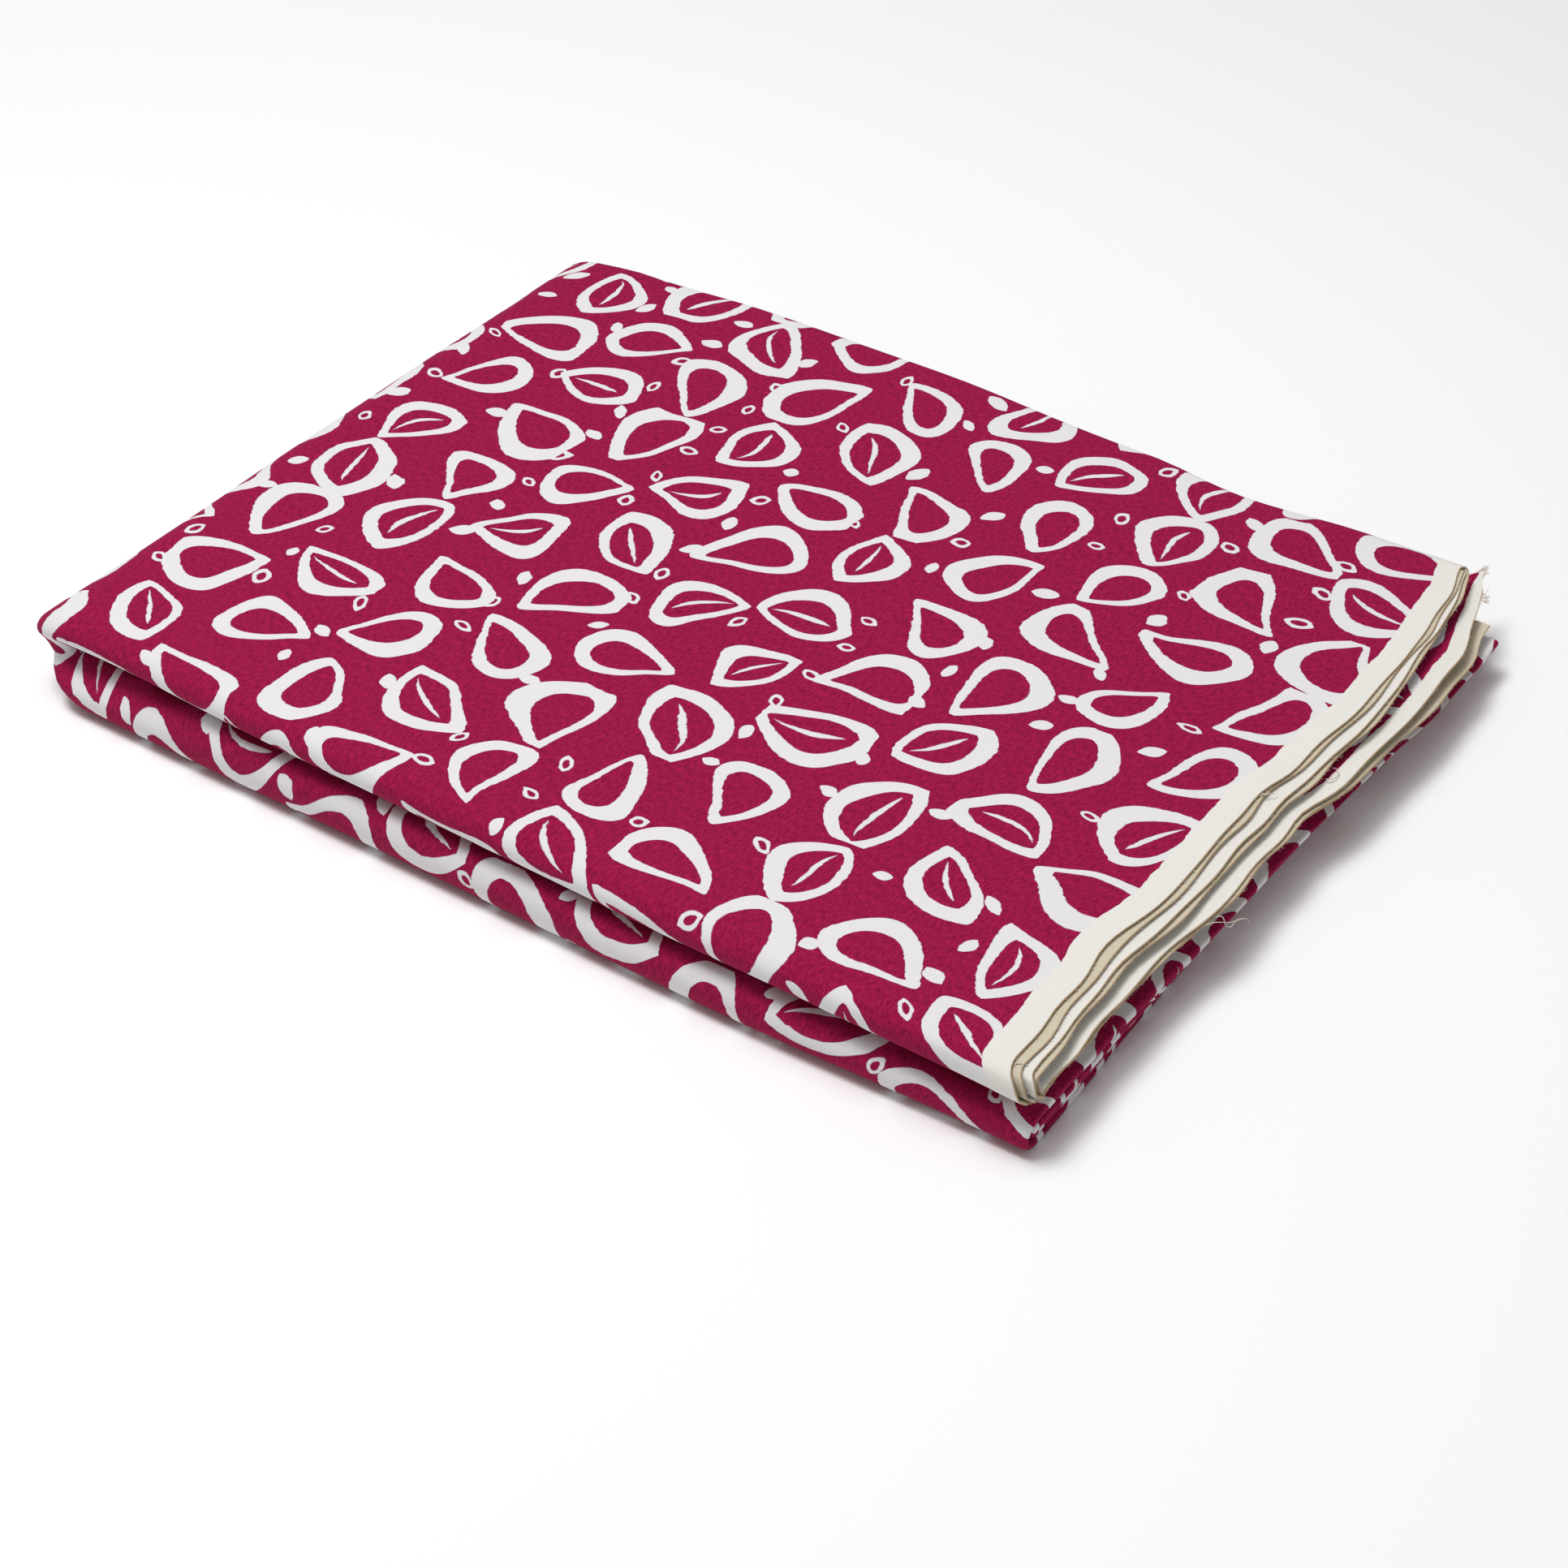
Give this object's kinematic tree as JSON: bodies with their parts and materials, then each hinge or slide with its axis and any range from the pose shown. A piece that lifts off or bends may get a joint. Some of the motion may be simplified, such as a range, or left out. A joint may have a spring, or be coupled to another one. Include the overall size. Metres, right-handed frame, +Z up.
{
  "type": "folded printed cotton fabric",
  "caption": "Cut of printed cotton cloth folded to a flat rectangular bundle, with a round fold at one end and cream selvages fanned at the other.",
  "frame": {"origin": "middle of the bundle's box, on the surface that it lies on", "axes": "+X towards the fanned selvages, away from the last fold; +Y towards the back folds and raw ends, away from the lengthwise folds at the front; +Z up through the plies"},
  "size_m": [0.3902, 0.2958, 0.0343],
  "materials": {
    "printed_cotton": "matt woven cotton, off-white figures printed on a raspberry ground, cream selvages and cream wrong side"
  },
  "bodies": {
    "root": {"cloth": "printed_cotton"}
  },
  "joints": []
}
